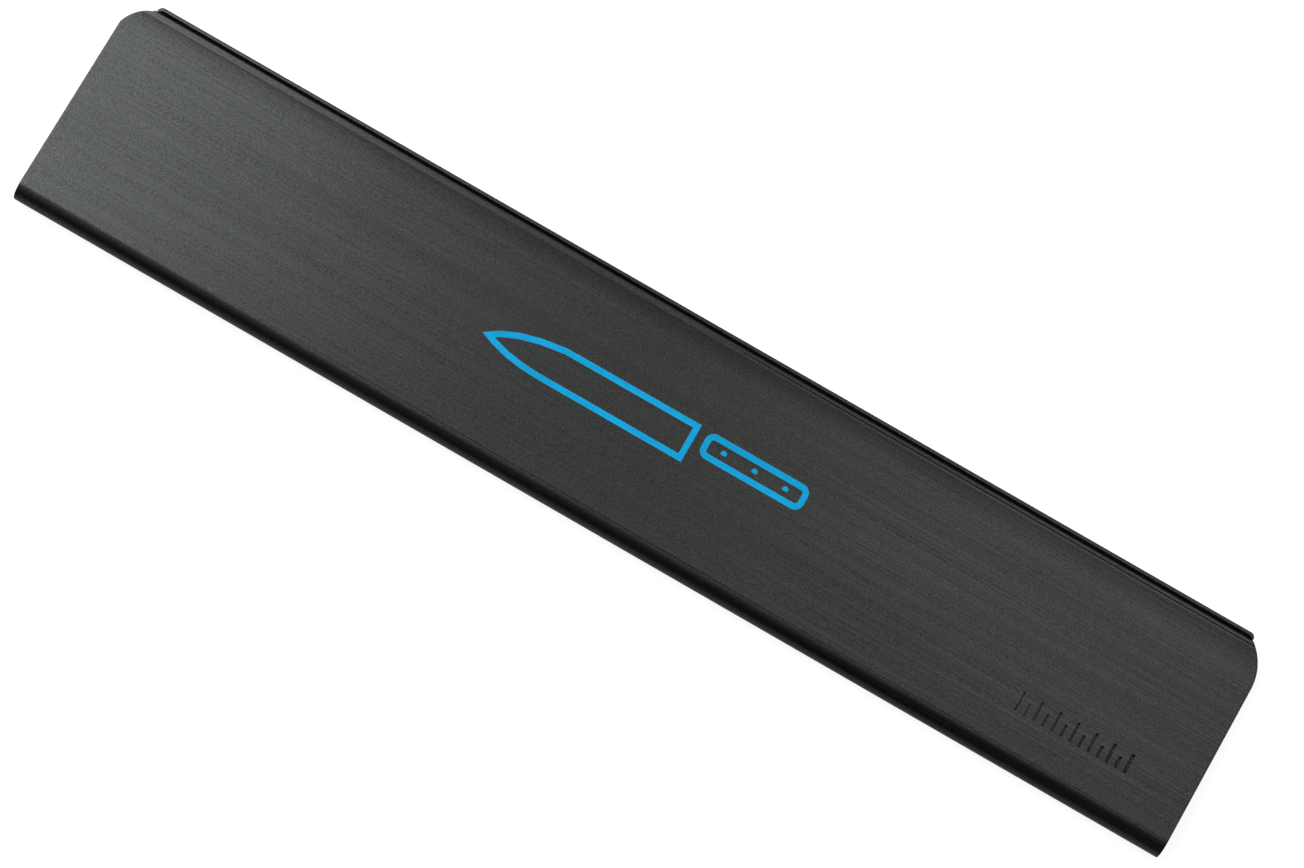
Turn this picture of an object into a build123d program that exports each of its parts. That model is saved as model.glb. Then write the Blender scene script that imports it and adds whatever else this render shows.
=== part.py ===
from build123d import *
from math import asin, atan2, cos, degrees, hypot, radians, sin, tan
import os

# A guard that pushes over the edge of a long kitchen knife.
# One strip of stiff plastic is rolled into a springy fold, from which two leaves close on the blade.
# The back leaf is taller than the front one, and both end in a thin stepped lip at the mouth.
# Lengths are in millimetres and angles in degrees.
# +X runs along the knife, +Y from the fold to the mouth, and +Z away from the table it lies on.

# Overall sizes of the plastic strip
guard_length = 267.0  # along the knife
guard_height = 49.6  # from the skin of the fold to the taller lip
fold_diameter = 6.8  # over the outside of the rolled fold
wall = 1.15  # thickness of the strip

# Mouth: each leaf bends outwards over a short ramp and ends in a flat rim
lip_offset = 1.85  # how much taller the back leaf is
rim_width = 1.15  # flat rim along each mouth edge
ramp_width = 2.2  # ramp between leaf and rim
rim_rise = 0.38  # how far the rim stands out from the pinch
bend_radius = 18.0  # outer radius where the leaf runs into the ramp
edge_radius = 0.30  # rounding of the two arrises at the mouth

# Corners punched through both leaves at once, with an arc and a flat side that the back leaf's tip shows
# The arc takes off a length of the front leaf's mouth line and a height of the end
left_cut_length = 6.0
left_cut_height = 5.5
left_cut_bulge = 1.13
left_cut_side = 4.85  # from the end to the punch's flat side
right_cut_length = 4.2
right_cut_height = 9.0
right_cut_bulge = 1.15
right_cut_side = 4.05
overrun = 2.0  # how far the punch runs past the front leaf and the ends

# Crease where the leaf leaves the rolled fold
crease_width = 0.16
crease_depth = 0.06

# Felt lining glued inside each leaf
felt_thickness = 0.40
felt_mouth_inset = 0.70  # bare plastic left between the felt and the mouth edges
felt_end_inset = 0.20  # bare plastic left between the felt and the ends and corners
felt_root_gap = 1.0  # bare plastic between the rolled fold and the felt
closed_gap = 0.30  # between the two linings where the closed leaves pinch the blade

# Sizes that follow
fold_radius = fold_diameter / 2
bore_radius = fold_radius - wall
front_edge = guard_height - fold_radius - lip_offset
back_edge = front_edge + lip_offset
pinch_reach = front_edge - rim_width - ramp_width
lining_reach = bore_radius - felt_thickness
half_gap = closed_gap / 2
leaf_angle = degrees(asin(lining_reach / hypot(pinch_reach, half_gap)) - atan2(half_gap, pinch_reach))
ramp_angle = degrees(atan2(rim_rise, ramp_width))


def skin_corners(edge):
    """Corners of one leaf's outer skin in the section, each with its lean and half of its turn."""
    root = (fold_radius * sin(radians(leaf_angle)), fold_radius * cos(radians(leaf_angle)))
    pinch_along = edge - rim_width - ramp_width
    pinch = (pinch_along, root[1] - (pinch_along - root[0]) * tan(radians(leaf_angle)))
    ramp_end = (edge - rim_width, pinch[1] + rim_rise)
    mouth = (edge, ramp_end[1])
    return (
        (root, -leaf_angle, 0),
        (pinch, (ramp_angle - leaf_angle) / 2, (ramp_angle + leaf_angle) / 2),
        (ramp_end, ramp_angle / 2, ramp_angle / 2),
        (mouth, 0, 0),
    )


def layer_line(side, edge, depth, root_gap, inset):
    """The corners of the line at a given depth under a leaf's skin, short of its root and its mouth."""
    line = []
    for (along, out), lean, half_turn in skin_corners(edge):
        shift = depth / cos(radians(half_turn))
        line.append((along + shift * sin(radians(lean)), out - shift * cos(radians(lean))))
    root, mouth = line[0], line[-1]
    line[0] = (root[0] + root_gap * cos(radians(leaf_angle)), root[1] - root_gap * sin(radians(leaf_angle)))
    line[-1] = (mouth[0] - inset, mouth[1])
    return [(along, side * out) for along, out in line]


# The guard lies on the bottom of its fold and on the skin of its taller lip, so its middle plane leans
rim_reach = skin_corners(back_edge)[-1][0][1]
rest_reach = back_edge - edge_radius
rest_lean = degrees(asin(fold_radius / hypot(rest_reach, rim_reach)) - atan2(rim_reach, rest_reach))

# Planes: the section across the strip at its left end, and the middle plane seen from the front
fold_y = fold_radius - guard_height / 2
fold_centre = (0, fold_y, fold_radius)
across = Vector(0, cos(radians(rest_lean)), -sin(radians(rest_lean)))
outwards = Vector(0, sin(radians(rest_lean)), cos(radians(rest_lean)))
section_plane = Plane(origin=fold_centre, x_dir=across, z_dir=(1, 0, 0)).offset(-guard_length / 2)
middle_plane = Plane(origin=fold_centre, x_dir=(1, 0, 0), z_dir=outwards)


def draw_layer(side, edge, top, bottom, root_gap, inset):
    """Section of the layer between two depths under a leaf's skin, short of its root and its mouth."""
    upper = layer_line(side, edge, top, root_gap, inset)
    lower = layer_line(side, edge, bottom, root_gap, inset)
    with BuildSketch() as layer:
        with BuildLine():
            Polyline(*upper, *reversed(lower), close=True)
        make_face()
        fillet(layer.vertices().sort_by_distance(upper[1])[0], bend_radius + top)
        fillet(layer.vertices().sort_by_distance(lower[1])[0], bend_radius + bottom)
        if top == 0:
            arrises = [layer.vertices().sort_by_distance(corner)[0] for corner in (upper[3], lower[3])]
            fillet(arrises, edge_radius)
            crease = layer.vertices().sort_by_distance(upper[0])[0]
            chamfer(crease, crease_depth, crease_width)
    return layer.sketch


def draw_waste(hand, edge, end, cut_length, cut_height, bulge, cut_side):
    """What a round punch takes off one corner of a leaf, seen from the front. The right hand is +1."""
    half_chord = hypot(cut_length, cut_height) / 2
    punch_radius = (half_chord**2 + bulge**2) / (2 * bulge)
    reach = (punch_radius - bulge) / (2 * half_chord)
    centre = (
        hand * (end - cut_length / 2 - reach * cut_height),
        edge - cut_height / 2 - reach * cut_length,
    )
    with BuildSketch(middle_plane) as waste:
        with Locations((hand * end, edge - cut_height)):
            sides = (Align.MIN if hand < 0 else Align.MAX, Align.MIN)
            Rectangle(cut_side, cut_height + overrun, align=sides)
            Rectangle(2 * overrun, cut_height + overrun, align=(Align.CENTER, Align.MIN))
        with Locations(centre):
            Circle(punch_radius, mode=Mode.SUBTRACT)
    return waste.sketch


def make_layer(side, edge, top, bottom, root_gap, inset, end_inset):
    """A sheet that follows one leaf: the plastic itself, or the felt glued inside it."""
    layer = draw_layer(side, edge, top, bottom, root_gap, inset)
    end = guard_length / 2 - end_inset
    mouth = front_edge - end_inset
    right_cut = draw_waste(1, mouth, end, right_cut_length, right_cut_height, right_cut_bulge, right_cut_side)
    left_cut = draw_waste(-1, mouth, end, left_cut_length, left_cut_height, left_cut_bulge, left_cut_side)
    with BuildPart() as sheet:
        extrude(section_plane.offset(end_inset) * layer, amount=2 * end)
        extrude(right_cut, amount=fold_diameter, both=True, mode=Mode.SUBTRACT)
        extrude(left_cut, amount=fold_diameter, both=True, mode=Mode.SUBTRACT)
    return sheet


def make_fold(side):
    """Half of the rolled fold, from the crown of the roll to the root of one leaf."""
    root_direction = side * (90 - leaf_angle)
    sweep = side * (90 + leaf_angle)
    with BuildPart() as fold:
        with BuildSketch(section_plane):
            with BuildLine():
                skin = CenterArc((0, 0), fold_radius, root_direction, sweep)
                bore = CenterArc((0, 0), bore_radius, root_direction, sweep)
                Line(skin @ 0, bore @ 0)
                Line(skin @ 1, bore @ 1)
            make_face()
        extrude(amount=guard_length)
    return fold


front, back = 1, -1

back_fold = make_fold(back)
front_fold = make_fold(front)
felt_depth = wall + felt_thickness
back_leaf = make_layer(back, back_edge, 0, wall, 0, 0, 0)
front_leaf = make_layer(front, front_edge, 0, wall, 0, 0, 0)
back_felt = make_layer(back, back_edge, wall, felt_depth, felt_root_gap, felt_mouth_inset, felt_end_inset)
front_felt = make_layer(front, front_edge, wall, felt_depth, felt_root_gap, felt_mouth_inset, felt_end_inset)

os.makedirs("parts", exist_ok=True)
back_fold.part.label = "back_fold"
export_step(back_fold.part, "parts/back_fold.step")
front_fold.part.label = "front_fold"
export_step(front_fold.part, "parts/front_fold.step")
back_leaf.part.label = "back_leaf"
export_step(back_leaf.part, "parts/back_leaf.step")
front_leaf.part.label = "front_leaf"
export_step(front_leaf.part, "parts/front_leaf.step")
back_felt.part.label = "back_felt"
export_step(back_felt.part, "parts/back_felt.step")
front_felt.part.label = "front_felt"
export_step(front_felt.part, "parts/front_felt.step")
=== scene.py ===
from math import asin, atan2, cos, hypot, pi, radians, sin, sqrt, tan

import bmesh
import bpy
from bpy.props import FloatProperty, FloatVectorProperty, IntProperty, PointerProperty
from mathutils import Matrix, Vector, noise


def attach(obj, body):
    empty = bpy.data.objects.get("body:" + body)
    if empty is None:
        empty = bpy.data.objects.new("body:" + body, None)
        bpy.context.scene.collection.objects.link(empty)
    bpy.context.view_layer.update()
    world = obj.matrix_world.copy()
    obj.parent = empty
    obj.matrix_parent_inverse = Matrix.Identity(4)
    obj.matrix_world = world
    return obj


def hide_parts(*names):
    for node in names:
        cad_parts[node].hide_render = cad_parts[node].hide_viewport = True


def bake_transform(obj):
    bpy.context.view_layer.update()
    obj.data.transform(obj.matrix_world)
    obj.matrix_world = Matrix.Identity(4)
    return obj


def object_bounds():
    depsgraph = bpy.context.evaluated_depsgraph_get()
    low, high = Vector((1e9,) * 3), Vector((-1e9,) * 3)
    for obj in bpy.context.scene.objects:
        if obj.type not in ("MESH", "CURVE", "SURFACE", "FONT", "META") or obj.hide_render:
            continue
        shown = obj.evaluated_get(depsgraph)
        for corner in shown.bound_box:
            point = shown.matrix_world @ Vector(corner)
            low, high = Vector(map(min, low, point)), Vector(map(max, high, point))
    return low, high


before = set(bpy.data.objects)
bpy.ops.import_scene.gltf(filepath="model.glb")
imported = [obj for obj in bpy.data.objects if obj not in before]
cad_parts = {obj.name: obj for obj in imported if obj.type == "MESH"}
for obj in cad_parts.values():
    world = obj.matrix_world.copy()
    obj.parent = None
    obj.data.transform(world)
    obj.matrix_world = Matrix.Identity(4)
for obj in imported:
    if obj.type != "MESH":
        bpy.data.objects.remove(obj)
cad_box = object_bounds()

bl_info = {
    "name": "Knife blade guard",
    "version": (1, 0, 0),
    "blender": (4, 5, 0),
    "location": "View3D > Sidebar > Blade guard",
    "description": "Builds a folded plastic guard for a long kitchen knife, with its felt lining",
    "category": "Add Mesh",
}

MM = 0.001
FRONT, BACK = 1, -1
RIGHT, LEFT = 1, -1

# Where a feature of a leaf's skin fades in, right of the guard's middle
DIE_LINE_FADE = (-10 * MM, 35 * MM)
CREASE_FADE = (-110 * MM, -20 * MM)
RIM_EASE_FADE = (-60 * MM, 100 * MM)

# Gaps between the rows of the meshes, on the flat, beside the corners, in the bend and on the rim
LEAF_ROWS = (4 * MM, 0.5 * MM, 0.25 * MM)
FELT_ROWS = (2.5 * MM, 0.7 * MM, 0.4 * MM, 0.3 * MM)
FELT_LAST_ROWS = (0.1 * MM, 0.04 * MM)  # before the cut edge
LEAST_ROW = 0.004 * MM
KINK = 0.05 * MM  # half of the sharp bend into the rim
FLAT_KINK = 0.02 * MM  # where a corner's arc turns into its flat side
CREASE_ROWS = (1.0, 2.0, 5.0)  # in widths of the crease
GROOVE_ROWS = (-0.5, -0.25, 0.0, 0.25, 0.5)  # in widths of the die line
GROOVE_PLACE = 0.60  # from the mouth, as a share of the rim
GROOVE_REACH = 0.55  # half of its width, with a little room
LEAF_TIP_ROWS, FELT_TIP_ROWS = 6, 8

# Gaps between their columns, and how far from the ends these start
LEAF_COLUMN, LEAF_INSIDE = 6 * MM, 12 * MM
FELT_COLUMN, FELT_INSIDE = 0.9 * MM, 13 * MM
END_COLUMNS = (0.4 * MM, 0.9 * MM, 1.8 * MM, 3.2 * MM, 5.0 * MM)  # from the ends

# Arrises: steps inwards as shares of the radius, and the most taken off as a share of the sheet
ARRIS_STEPS = (0.0, 0.02, 0.08, 0.18, 0.33, 0.52, 0.75, 1.0)
MOST_DROP = 0.4
FELT_ARRIS = 0.12 * MM

# Felt: width of its frayed band, and the noise that frays and lumps it, with its level at rest
FRAYED_BAND, FRAY_GRAIN, LUMP_GRAIN = 0.5 * MM, 0.8 * MM, 0.9 * MM
FRAY_LEVEL, LUMP_LEVEL = 0.6, 0.4
SIDE_SHIFT = 3.0  # parts the two felts' fraying
FIBRE_LEAN, FIBRE_TURN = 1.2, 6.28  # most lean and turn of a fibre, in radians
FIBRE_SIZES = (0.4, 1.1)  # least and greatest

# Steps across a pressed tick and past its ends, as shares of half its width
TICK_COLUMN_STEPS = (-1.2, -1.0, -0.5, 0.0, 0.5, 1.0, 1.2)
TICK_ROW_STEPS = (-1.4, -1.1, -0.7, -0.35, 0.0, 0.35, 0.7, 1.1, 1.4)
TICK_CLEAR, TICK_ROW = 3, 0.5 * MM  # between the ends: half widths left, and gap between rows

# Rolled fold: its grid, and a share of its radius at which two points on the fold are reckoned,
# though nothing uses them
FOLD_COLUMNS, FOLD_ROWS = 61, 73
FOLD_CROWDING = 3.0  # power that crowds the columns at the ends
FOLD_BLEND = 0.97

# Edges that turn by more than these degrees are sharp, and points within these metres merge
LEAF_SMOOTH, FOLD_SMOOTH, FELT_SMOOTH = 18.0, 30.0, 60.0
DOUBLES, FOLD_DOUBLES = 1e-7, 1e-6

# The printed knife in shares of half its length and half its height, with its tip on the left
BOLSTER = 0.30
SPINE_END, SPINE_CURVE, TIP = (-0.55, 0.98), (-0.86, 0.70), (-1.0, -0.35)
BELLY_CURVE, BELLY_END = (-0.84, -0.98), (-0.62, -1.0)
HANDLE_TOP, HANDLE_LOW = 0.98, -0.32
RIVET_PLACES = (0.2, 0.5, 0.8)
HANDLE_CORNER = 1.5  # radius of its corners and gap at the bolster, in strokes
CURVE_STEPS = (0.25, 0.5, 0.75, 1.0)
CORNER_PARTS, RIVET_SIDES = 6, 20
SHARPEST_CORNER = 0.4  # keeps a sharp corner's inner point near it

# Softboxes: place, size and tint
LEFT_SOFTBOX = ((-0.67, 0.335, 1.05), (0.76, 0.90), (0.97, 0.96, 1.10))
TOP_SOFTBOX = ((0.24, 0.63, 1.25), (0.28, 0.84), (1.0, 1.0, 1.0))

# Sky: height of its brightest part, and how far its dark part reaches, where it fades in, its tilt
SKY_TOP = 0.9
DARK_SIDEWAYS, DARK_RANGE, DARK_TILT = (0.25, 0.65), (-0.02, 0.43), 1.8
WHITE = (1.0, 1.0, 1.0, 1.0)

PHOTO_WIDTH = 1304  # pixels
SENSOR_WIDTH = 36.0  # millimetres


def length(description, millimetres):
    """A length that is kept in metres and written here in millimetres."""
    return FloatProperty(description=description, default=millimetres * MM,
                         subtype="DISTANCE", unit="LENGTH", precision=5)


def angle(description, degrees):
    """An angle that is kept in radians and written here in degrees."""
    return FloatProperty(description=description, default=radians(degrees),
                         subtype="ANGLE", unit="ROTATION")


def share(description, default):
    """A plain number from 0 to 1."""
    return FloatProperty(description=description, default=default,
                         min=0.0, max=1.0, subtype="FACTOR")


def strength(description, default):
    """A plain number with no upper end."""
    return FloatProperty(description=description, default=default, min=0.0)


def whole(description, default, least):
    """A whole number."""
    return IntProperty(description=description, default=default, min=least)


def colour(description, default):
    """A linear colour."""
    return FloatVectorProperty(description=description, default=default,
                               size=3, min=0.0, max=1.0, subtype="COLOR")


def named(group):
    """Names each property of a group after its identifier."""
    for identifier, prop in group.__annotations__.items():
        prop.keywords["name"] = identifier.replace("_", " ").capitalize()
    return group


@named
class GuardStrip(bpy.types.PropertyGroup):
    """Sizes of the plastic strip, which is rolled into a fold with two leaves"""
    guard_length: length("Along the knife", (cad_box[1].x - cad_box[0].x) / MM)
    guard_height: length("From the skin of the fold to the taller lip", 49.6)
    fold_diameter: length("Over the outside of the rolled fold", 6.8)
    wall: length("Thickness of the strip", 1.15)
    lip_offset: length("How much taller the back leaf is", 1.85)
    rim_width: length("Flat rim along each mouth edge", 1.35)
    ramp_width: length("Ramp between leaf and rim", 2.0)
    rim_rise: length("How far the rim stands out from the pinch", 0.38)
    bend_radius: length("Outer radius where the leaf runs into the ramp", 18.0)
    edge_radius: length("Rounding of the mouth's arrises", 0.30)
    end_radius: length("Rounding of the sawn ends' arrises", 0.12)
    crease_width: length("Crease between fold and leaf", 0.16)
    crease_depth: length("Depth of that crease", 0.06)
    rim_ease: share("How much less the front rim stands out at the right end", 0.7)
    rim_fall: length("How far the rim's skin falls towards the mouth edge", 0.05)
    groove_width: length("Fine line that the die leaves along the front rim", 0.30)
    groove_depth: length("Depth of that line at its deepest", 0.09)


@named
class GuardCorners(bpy.types.PropertyGroup):
    """Sizes of the two punched corners at the mouth"""
    left_cut_length: length("How much it takes off the mouth line", 6.0)
    left_cut_height: length("How much it takes off the end", 5.5)
    left_cut_bulge: length("How far its arc bulges", 1.13)
    left_cut_side: length("From the end to the punch's flat side", 4.85)
    right_cut_length: length("How much it takes off the mouth line", 4.2)
    right_cut_height: length("How much it takes off the end", 9.0)
    right_cut_bulge: length("How far its arc bulges", 1.15)
    right_cut_side: length("From the end to the punch's flat side", 4.05)
    left_tip_radius: length("Rounding of the back leaf's left tip", 1.4)
    right_tip_radius: length("Rounding of the back leaf's right tip", 1.15)


@named
class GuardLining(bpy.types.PropertyGroup):
    """Sizes of the felt lining"""
    felt_thickness: length("Thickness of the felt", 0.40)
    felt_mouth_inset: length("Bare plastic between felt and mouth edge", 0.70)
    felt_end_inset: length("Bare plastic between felt and ends and corners", 0.20)
    felt_root_gap: length("Bare plastic between fold and felt", 1.0)
    closed_gap: length("Between the two linings at the pinch", 0.30)
    fray: length("Unevenness of the felt's cut edge", 0.07)
    lumps: length("Unevenness of the felt's face", 0.03)
    fibre_length: length("Loose fibres on the felt", 0.22)
    fibre_thickness: length("Thickness of a loose fibre", 0.03)
    fibre_density: strength("Loose fibres on a square millimetre at the mouth", 6.0)
    fibre_band: length("Width of the fuzzy band at the mouth", 2.5)
    fibre_thin_share: share("Density of the fibres elsewhere, as a share", 0.01)
    seed: whole("Seed of the fibres' places", 7, 0)


@named
class GuardMarks(bpy.types.PropertyGroup):
    """Sizes of the printed knife outline and of the pressed scale"""
    print_length: length("Length of the printed knife outline", 73.8)
    print_height: length("Height of the printed knife outline", 8.7)
    print_stroke: length("Width of its line", 1.3)
    print_x: length("Its middle, right of the guard's middle", -0.3)
    print_along: length("Its middle, from the fold's centre", 22.0)
    print_thickness: length("Thickness of the ink", 0.03)
    tick_pitch: length("Distance between two ticks of the scale", 2.1)
    tick_width: length("Width of the widest tick", 0.78)
    tick_height: length("Height of the longest tick", 4.2)
    tick_depth: length("Depth of the deepest tick", 0.66)
    scale_x: length("First tick, right of the guard's middle", 94.0)
    scale_along: length("Foot of the scale, from the fold's centre", 7.85)
    tick_count: whole("Ticks of the pressed scale", 13, 2)
    tick_step: whole("Every so many ticks one is long", 2, 1)
    short_tick: share("Height of a short tick, as a share of a long one", 0.6)
    faint_tick: share("Size of the first tick, as a share of the last", 0.50)


@named
class GuardFinish(bpy.types.PropertyGroup):
    """Colours and gloss of the plastic, the felt and the ink"""
    plastic_dark: colour("Darkest of the streaks", (0.0028, 0.0030, 0.0027))
    plastic_light: colour("Lightest of the streaks", (0.0068, 0.0071, 0.0064))
    plastic_roughness: share("Satin gloss of the plastic", 0.29)
    plastic_sheen: strength("Gloss of the plastic where it is dullest", 0.38)
    grain_depth: length("Depth of the plastic's streaks and speckle", 0.042)
    felt_dark: colour("Darkest of the felt", (0.0006, 0.0006, 0.0006))
    felt_light: colour("Lightest of the felt", (0.0040, 0.0040, 0.0040))
    ink_deep: colour("Deepest of the blue ink", (0.0, 0.38, 0.70))
    ink_light: colour("Lightest of the blue ink", (0.002, 0.46, 0.83))
    nap_depth: length("Depth of the felt's nap", 0.08)
    ink_grain_depth: length("Depth of the grain that shows in the ink", 0.006)


@named
class GuardStage(bpy.types.PropertyGroup):
    """The camera, the floor and the lamps"""
    camera_distance: length("From the camera to its aim on the floor", 774.87)
    camera_lean_x: angle("Lean of the line of sight towards the right", 1.703)
    camera_lean_y: angle("Lean of the line of sight towards the fold", 5.457)
    camera_roll: angle("Turn of the picture about the line of sight", -30.078)
    aim_x: length("Place on the floor that the camera aims at", 2.74)
    aim_y: length("Place on the floor that the camera aims at", -1.13)
    focal_pixels: strength("In pixels of the 1304 pixel wide picture", 3803.26)
    floor_size: length("Side of the square floor", 6000.0)
    floor_grey: share("How much light the ground throws back", 0.35)
    floor_glow: share("How much the ground shines for the camera", 0.86)
    mirror_share: share("Share of that glow that reflections show", 0.10)
    sky_high: strength("Light from straight above", 0.50)
    sky_low: strength("Light from the horizon", 0.30)
    sky_dark: strength("Light from low on the fold's side", 0.02)
    left_lamp: strength("Radiance of the softbox on the left", 4.7)
    top_lamp: strength("Radiance of the softbox overhead", 2.32)


GROUPS = {"guard_strip": GuardStrip, "guard_corners": GuardCorners, "guard_lining": GuardLining,
          "guard_marks": GuardMarks, "guard_finish": GuardFinish, "guard_stage": GuardStage}


class Field:
    """A value in a node tree that can be reckoned with."""

    def __init__(self, tree, socket):
        self.tree, self.socket = tree, socket

    def math(self, operation, *others, clamp=False):
        node = self.tree.nodes.new("ShaderNodeMath")
        node.operation, node.use_clamp = operation, clamp
        for socket, value in zip(node.inputs, (self, *others)):
            put(socket, value)
        return Field(self.tree, node.outputs[0])

    def __add__(self, other):
        return self.math("ADD", other)

    def __sub__(self, other):
        return self.math("SUBTRACT", other)

    def __mul__(self, other):
        return self.math("MULTIPLY", other)

    def __truediv__(self, other):
        return self.math("DIVIDE", other)

    def rest(self, clamp=False):
        """What is left of 1."""
        return self.math("MULTIPLY_ADD", -1.0, 1.0, clamp=clamp)

    def eased(self, low=0.0, high=1.0, start=0.0, end=1.0):
        """Runs smoothly from start to end while the value runs from low to high."""
        node = add_node(self.tree, "ShaderNodeMapRange", {"interpolation_type": "SMOOTHSTEP"},
                        Value=self, From_Min=low, From_Max=high, To_Min=start, To_Max=end)
        return Field(self.tree, node.outputs["Result"])


def socket_of(value):
    """The socket that gives a value, or a node's first output that is in use."""
    if isinstance(value, bpy.types.Node):
        return next(s for s in value.outputs if s.enabled)
    return value.socket if isinstance(value, Field) else value


def put(socket, value):
    """Links a socket to what gives the value in its tree, or else fills it."""
    if isinstance(value, (Field, bpy.types.Node, bpy.types.NodeSocket)):
        socket.id_data.links.new(socket_of(value), socket)
    else:
        socket.default_value = value


def fill(node, **inputs):
    """Puts values in a node's inputs, named with _ for a blank."""
    for name, value in inputs.items():
        put(next(s for s in node.inputs if s.name == name.replace("_", " ") and s.enabled), value)
    return node


def add_node(tree, kind, settings=None, **inputs):
    """Adds a node, sets its options and fills its inputs."""
    node = tree.nodes.new(kind)
    for option, value in (settings or {}).items():
        setattr(node, option, value)
    return fill(node, **inputs)


def combine(tree, x, y, z):
    """A vector of three values."""
    return add_node(tree, "ShaderNodeCombineXYZ", X=x, Y=y, Z=z)


def separate(tree, vector):
    """The three values of a vector."""
    node = add_node(tree, "ShaderNodeSeparateXYZ", Vector=vector)
    return [Field(tree, socket) for socket in node.outputs]


class Rule:
    """A geometry node tree with named inputs, which turns one mesh into another."""

    def __init__(self, name, floats, integers=()):
        self.tree = bpy.data.node_groups.new(name, "GeometryNodeTree")
        self.names = (*floats, *integers)
        new_socket = self.tree.interface.new_socket
        kinds = {"Geometry": "Geometry", "Material": "Material",
                 **dict.fromkeys(floats, "Float"), **dict.fromkeys(integers, "Int")}
        self.sockets = {
            label: new_socket(name=label, in_out="INPUT",
                              socket_type="NodeSocket" + kind).identifier
            for label, kind in kinds.items()}
        new_socket(name="Geometry", in_out="OUTPUT", socket_type="NodeSocketGeometry")
        self.given = self.tree.nodes.new("NodeGroupInput")

    def value(self, name):
        return Field(self.tree, self.given.outputs[name])

    def values(self):
        """The tree's numbers, in the order of their names."""
        return [self.value(name) for name in self.names]

    def position(self):
        """The three values of a point's place."""
        return separate(self.tree, self.tree.nodes.new("GeometryNodeInputPosition"))

    def node(self, kind, settings=None, **inputs):
        return add_node(self.tree, kind, settings, **inputs)

    def join(self, *parts):
        """Joins pieces of geometry."""
        both = self.tree.nodes.new("GeometryNodeJoinGeometry")
        for part in parts:
            put(both.inputs[0], part)
        return both

    def finish(self, geometry):
        """Ends the tree in real geometry with the piece's material."""
        real = self.node("GeometryNodeRealizeInstances", Geometry=geometry)
        coated = self.node("GeometryNodeSetMaterial", Geometry=real,
                           Material=self.value("Material"))
        self.node("NodeGroupOutput", Geometry=coated)
        return self

    def apply(self, piece, material, values):
        """Runs the tree on a piece and keeps the result as its plain mesh."""
        modifier = piece.modifiers.new(self.tree.name, "NODES")
        modifier.node_group = self.tree
        for name, value in {"Material": material, **values}.items():
            modifier[self.sockets[name]] = value
        seen = piece.evaluated_get(bpy.context.evaluated_depsgraph_get())
        mesh = bpy.data.meshes.new_from_object(seen)
        piece.modifiers.remove(modifier)
        piece.data = mesh
        mesh.name = piece.name


class Section:
    """The guard's section: places on one leaf, measured from the centre of the fold.

    Along runs from the fold to the mouth, and out runs from the middle plane to the leaf's skin."""

    def __init__(self, scene, side):
        self.strip, lining = scene.guard_strip, scene.guard_lining
        strip = self.strip
        self.side = side
        self.fold_radius = strip.fold_diameter / 2
        self.bore_radius = self.fold_radius - strip.wall
        self.back_edge = strip.guard_height - self.fold_radius
        self.front_edge = self.back_edge - strip.lip_offset
        self.edge = self.front_edge if side == FRONT else self.back_edge
        pinch_reach = self.front_edge - strip.rim_width - strip.ramp_width
        lining_reach = self.bore_radius - lining.felt_thickness
        half_gap = lining.closed_gap / 2
        pinch_turn = asin(lining_reach / hypot(pinch_reach, half_gap))
        self.leaf_angle = pinch_turn - atan2(half_gap, pinch_reach)
        self.ramp_angle = atan2(strip.rim_rise, strip.ramp_width)
        rest_reach = self.back_edge - strip.edge_radius
        rim_reach = self.corners(0, self.back_edge)[2][1]
        rest_turn = asin(self.fold_radius / hypot(rest_reach, rim_reach))
        self.rest_lean = rest_turn - atan2(rim_reach, rest_reach)

    def corners(self, depth, edge):
        """Root, pinch and ramp end of the line at a depth under the skin, not rounded."""
        strip, leaf, ramp = self.strip, self.leaf_angle, self.ramp_angle
        root = (self.fold_radius * sin(leaf), self.fold_radius * cos(leaf))
        pinch_along = edge - strip.rim_width - strip.ramp_width
        pinch = (pinch_along, root[1] - (pinch_along - root[0]) * tan(leaf))
        ramp_end = (edge - strip.rim_width, pinch[1] + strip.rim_rise)
        places = []
        for (along, out), lean, half_turn in (
            (root, -leaf, 0.0),
            (pinch, (ramp - leaf) / 2, (ramp + leaf) / 2),
            (ramp_end, ramp / 2, ramp / 2),
        ):
            shift = depth / cos(half_turn)
            places.append((along + shift * sin(lean), out - shift * cos(lean)))
        return places

    def bend(self, depth):
        """Where the bend into the ramp starts and ends, at a depth under the skin."""
        pinch = self.corners(depth, self.edge)[1]
        tangent = (self.strip.bend_radius + depth) * tan((self.leaf_angle + self.ramp_angle) / 2)
        return pinch[0] - tangent * cos(self.leaf_angle), pinch[0] + tangent * cos(self.ramp_angle)

    def out(self, along, depth):
        """How far the line at a depth under the skin lies from the middle plane."""
        leaf, ramp = self.leaf_angle, self.ramp_angle
        root, pinch, ramp_end = self.corners(depth, self.edge)
        bend_start, bend_end = self.bend(depth)
        if along <= bend_start:
            return root[1] - (along - root[0]) * tan(leaf)
        if along < bend_end:
            radius = self.strip.bend_radius + depth
            centre_along = bend_start + radius * sin(leaf)
            centre_out = root[1] - (bend_start - root[0]) * tan(leaf) + radius * cos(leaf)
            return centre_out - sqrt(radius**2 - (along - centre_along) ** 2)
        if along < ramp_end[0]:
            return pinch[1] + (along - pinch[0]) * tan(ramp)
        return ramp_end[1]

    def matrix(self):
        """Puts a mesh that is made in the section into the frame."""
        fold_centre = (0, cad_box[0].y + self.fold_radius, self.fold_radius)
        return Matrix.Translation(fold_centre) @ Matrix.Rotation(-self.rest_lean, 4, "X")


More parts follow.
